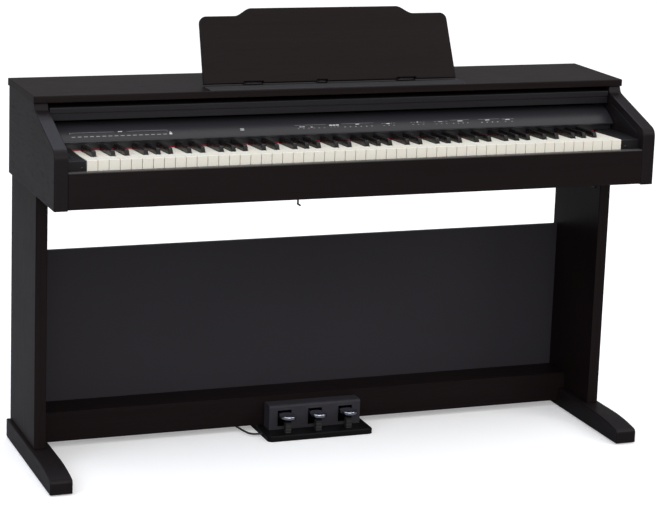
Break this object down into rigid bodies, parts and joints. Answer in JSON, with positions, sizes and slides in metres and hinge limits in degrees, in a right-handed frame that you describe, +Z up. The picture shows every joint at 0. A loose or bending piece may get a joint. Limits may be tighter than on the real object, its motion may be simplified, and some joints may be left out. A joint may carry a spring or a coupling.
{
  "type": "digital piano on stand",
  "caption": "Upright digital piano on a panel stand, with weighted keyboard, sliding key cover, folding music rest and a pedal unit joined by its cable.",
  "frame": {"origin": "on the floor, at the middle of the width and of the depth", "axes": "+X along the keyboard towards the high notes, +Y to the back, +Z up"},
  "size_m": [1.378, 0.41, 0.979],
  "materials": {
    "dark_wood": "satin laminate with fine dark wood grain",
    "cover_wood": "satin dark laminate",
    "black_board": "dark grey laminate with a fine cloth-like texture",
    "grey_trim": "satin grey plastic strip",
    "black_plastic": "fine moulded texture",
    "button_plastic": "matt black buttons",
    "satin_panel": "satin black, slightly metallic",
    "red_felt": "felt",
    "ivory_keys": "warm white, semi gloss",
    "ebony_keys": "matt black with fine texture",
    "frame_plastic": "moulded plastic",
    "steel": "zinc-plated steel",
    "hinge_steel": "black-coated steel",
    "speaker_steel": "black driver",
    "circuit": "circuit board",
    "ledge_plastic": "ribbed satin plastic",
    "pad_rubber": "rubber glide",
    "base_black": "matt black",
    "pedal_grey": "fine textured dark grey",
    "post_rubber": "black rubber stop",
    "pedal_chrome": "polished",
    "cable_rubber": "soft black jacket"
  },
  "bodies": {
    "root": {"side_panel_left": "dark_wood", "side_panel_right": "dark_wood", "top_panel": "dark_wood", "front_rail": "dark_wood", "front_rail_trim": "grey_trim", "bottom_board": "dark_wood", "back_board": "black_board", "rear_socket_plate": "black_plastic", "control_panel": "satin_panel", "key_felt_strip": "red_felt", "key_end_blocks": "black_plastic", "key_frame": "frame_plastic", "hammer_weights": "steel", "speakers": "speaker_steel", "circuit_board": "circuit", "jack_box": "black_plastic", "headphone_hook": "steel", "cover_racks": "frame_plastic", "music_rest_ledge": "ledge_plastic", "rest_hinge_bases": "hinge_steel", "leg_left": "dark_wood", "leg_right": "dark_wood", "foot_left": "dark_wood", "foot_right": "dark_wood", "foot_pads": "pad_rubber", "rear_panel": "black_board", "stand_beam": "dark_wood", "stand_brackets": "hinge_steel", "assembly_screws": "steel", "pedal_base_plate": "base_black", "pedal_box": "pedal_grey", "pedal_posts": "post_rubber", "pedal_pivot_rod": "steel", "pedal_cable": "cable_rubber", "cable_clips": "frame_plastic"},
    "cover_carriage": {"cover_bearings": "frame_plastic"},
    "cover_shaft": {"cover_shaft": "steel"},
    "cover": {"key_cover": "cover_wood"},
    "music_rest": {"music_rest_board": "dark_wood", "rest_hinge_leaves": "hinge_steel"},
    "soft_pedal": {"soft_pedal": "pedal_chrome"},
    "sostenuto_pedal": {"sostenuto_pedal": "pedal_chrome"},
    "damper_pedal": {"damper_pedal": "pedal_chrome"},
    "white_keys": {"white_keys": "ivory_keys"},
    "black_keys": {"black_keys": "ebony_keys"},
    "power_button": {"power_button": "button_plastic"},
    "volume_down_button": {"volume_down_button": "button_plastic"},
    "volume_up_button": {"volume_up_button": "button_plastic"},
    "key_c": {"key_c": "ivory_keys"},
    "key_c_sharp": {"key_c_sharp": "ebony_keys"},
    "key_d": {"key_d": "ivory_keys"},
    "key_d_sharp": {"key_d_sharp": "ebony_keys"},
    "key_e": {"key_e": "ivory_keys"},
    "key_f": {"key_f": "ivory_keys"},
    "key_f_sharp": {"key_f_sharp": "ebony_keys"},
    "key_g": {"key_g": "ivory_keys"},
    "key_g_sharp": {"key_g_sharp": "ebony_keys"},
    "key_a": {"key_a": "ivory_keys"},
    "key_a_sharp": {"key_a_sharp": "ebony_keys"},
    "key_b": {"key_b": "ivory_keys"}
  },
  "joints": [
    {"name": "cover_slide", "type": "slide", "parent": "root", "child": "cover_carriage", "axis": [0, -1, 0], "range_m": [0, 0.17]},
    {"name": "cover_tilt", "type": "hinge", "parent": "cover_carriage", "child": "cover", "pos_m": [0, 0.178, 0.767], "axis": [1, 0, 0], "range_deg": [0, 15.06]},
    {"name": "cover_shaft_spin", "type": "hinge", "parent": "cover_carriage", "child": "cover_shaft", "pos_m": [0, 0.178, 0.767], "axis": [1, 0, 0], "range_deg": [0, 812]},
    {"name": "music_rest_fold", "type": "hinge", "parent": "root", "child": "music_rest", "pos_m": [0, 0.0396, 0.82288], "axis": [1, 0, 0], "range_deg": [-66, 0]},
    {"name": "soft_pedal_press", "type": "hinge", "parent": "root", "child": "soft_pedal", "pos_m": [-0.074, 0.125, 0.0508], "axis": [1, 0, 0], "range_deg": [0, 7], "stiffness_Nm_per_rad": 6, "springref_deg": -5.73},
    {"name": "sostenuto_pedal_press", "type": "hinge", "parent": "root", "child": "sostenuto_pedal", "pos_m": [0, 0.125, 0.0508], "axis": [1, 0, 0], "range_deg": [0, 7], "stiffness_Nm_per_rad": 6, "springref_deg": -5.73},
    {"name": "damper_pedal_press", "type": "hinge", "parent": "root", "child": "damper_pedal", "pos_m": [0.074, 0.125, 0.0508], "axis": [1, 0, 0], "range_deg": [0, 7], "stiffness_Nm_per_rad": 6, "springref_deg": -5.73},
    {"name": "white_keys_press", "type": "hinge", "parent": "root", "child": "white_keys", "pos_m": [0, 0.03, 0.69], "axis": [1, 0, 0], "range_deg": [0, 2.67], "stiffness_Nm_per_rad": 45, "springref_deg": -6.88},
    {"name": "black_keys_press", "type": "hinge", "parent": "root", "child": "black_keys", "pos_m": [0, 0.03, 0.69], "axis": [1, 0, 0], "range_deg": [0, 2.67], "stiffness_Nm_per_rad": 31, "springref_deg": -5.73},
    {"name": "key_c_press", "type": "hinge", "parent": "root", "child": "key_c", "pos_m": [0, 0.03, 0.69], "axis": [1, 0, 0], "range_deg": [0, 2.67], "stiffness_Nm_per_rad": 1, "springref_deg": -6.88},
    {"name": "key_c_sharp_press", "type": "hinge", "parent": "root", "child": "key_c_sharp", "pos_m": [0, 0.03, 0.69], "axis": [1, 0, 0], "range_deg": [0, 2.67], "stiffness_Nm_per_rad": 1, "springref_deg": -5.73},
    {"name": "key_d_press", "type": "hinge", "parent": "root", "child": "key_d", "pos_m": [0, 0.03, 0.69], "axis": [1, 0, 0], "range_deg": [0, 2.67], "stiffness_Nm_per_rad": 1, "springref_deg": -6.88},
    {"name": "key_d_sharp_press", "type": "hinge", "parent": "root", "child": "key_d_sharp", "pos_m": [0, 0.03, 0.69], "axis": [1, 0, 0], "range_deg": [0, 2.67], "stiffness_Nm_per_rad": 1, "springref_deg": -5.73},
    {"name": "key_e_press", "type": "hinge", "parent": "root", "child": "key_e", "pos_m": [0, 0.03, 0.69], "axis": [1, 0, 0], "range_deg": [0, 2.67], "stiffness_Nm_per_rad": 1, "springref_deg": -6.88},
    {"name": "key_f_press", "type": "hinge", "parent": "root", "child": "key_f", "pos_m": [0, 0.03, 0.69], "axis": [1, 0, 0], "range_deg": [0, 2.67], "stiffness_Nm_per_rad": 1, "springref_deg": -6.88},
    {"name": "key_f_sharp_press", "type": "hinge", "parent": "root", "child": "key_f_sharp", "pos_m": [0, 0.03, 0.69], "axis": [1, 0, 0], "range_deg": [0, 2.67], "stiffness_Nm_per_rad": 1, "springref_deg": -5.73},
    {"name": "key_g_press", "type": "hinge", "parent": "root", "child": "key_g", "pos_m": [0, 0.03, 0.69], "axis": [1, 0, 0], "range_deg": [0, 2.67], "stiffness_Nm_per_rad": 1, "springref_deg": -6.88},
    {"name": "key_g_sharp_press", "type": "hinge", "parent": "root", "child": "key_g_sharp", "pos_m": [0, 0.03, 0.69], "axis": [1, 0, 0], "range_deg": [0, 2.67], "stiffness_Nm_per_rad": 1, "springref_deg": -5.73},
    {"name": "key_a_press", "type": "hinge", "parent": "root", "child": "key_a", "pos_m": [0, 0.03, 0.69], "axis": [1, 0, 0], "range_deg": [0, 2.67], "stiffness_Nm_per_rad": 1, "springref_deg": -6.88},
    {"name": "key_a_sharp_press", "type": "hinge", "parent": "root", "child": "key_a_sharp", "pos_m": [0, 0.03, 0.69], "axis": [1, 0, 0], "range_deg": [0, 2.67], "stiffness_Nm_per_rad": 1, "springref_deg": -5.73},
    {"name": "key_b_press", "type": "hinge", "parent": "root", "child": "key_b", "pos_m": [0, 0.03, 0.69], "axis": [1, 0, 0], "range_deg": [0, 2.67], "stiffness_Nm_per_rad": 1, "springref_deg": -6.88},
    {"name": "power_button_press", "type": "slide", "parent": "root", "child": "power_button", "axis": [0, 0, -1], "range_m": [0, 0.0012], "stiffness_N_per_m": 300, "springref_m": -0.001},
    {"name": "volume_down_button_press", "type": "slide", "parent": "root", "child": "volume_down_button", "axis": [0, 0, -1], "range_m": [0, 0.0012], "stiffness_N_per_m": 300, "springref_m": -0.001},
    {"name": "volume_up_button_press", "type": "slide", "parent": "root", "child": "volume_up_button", "axis": [0, 0, -1], "range_m": [0, 0.0012], "stiffness_N_per_m": 300, "springref_m": -0.001}
  ],
  "couplings": [
    {"joint": "cover_tilt", "follows": "cover_slide", "rad_per_m": 1.5437},
    {"joint": "cover_shaft_spin", "follows": "cover_slide", "rad_per_m": 83.333}
  ]
}
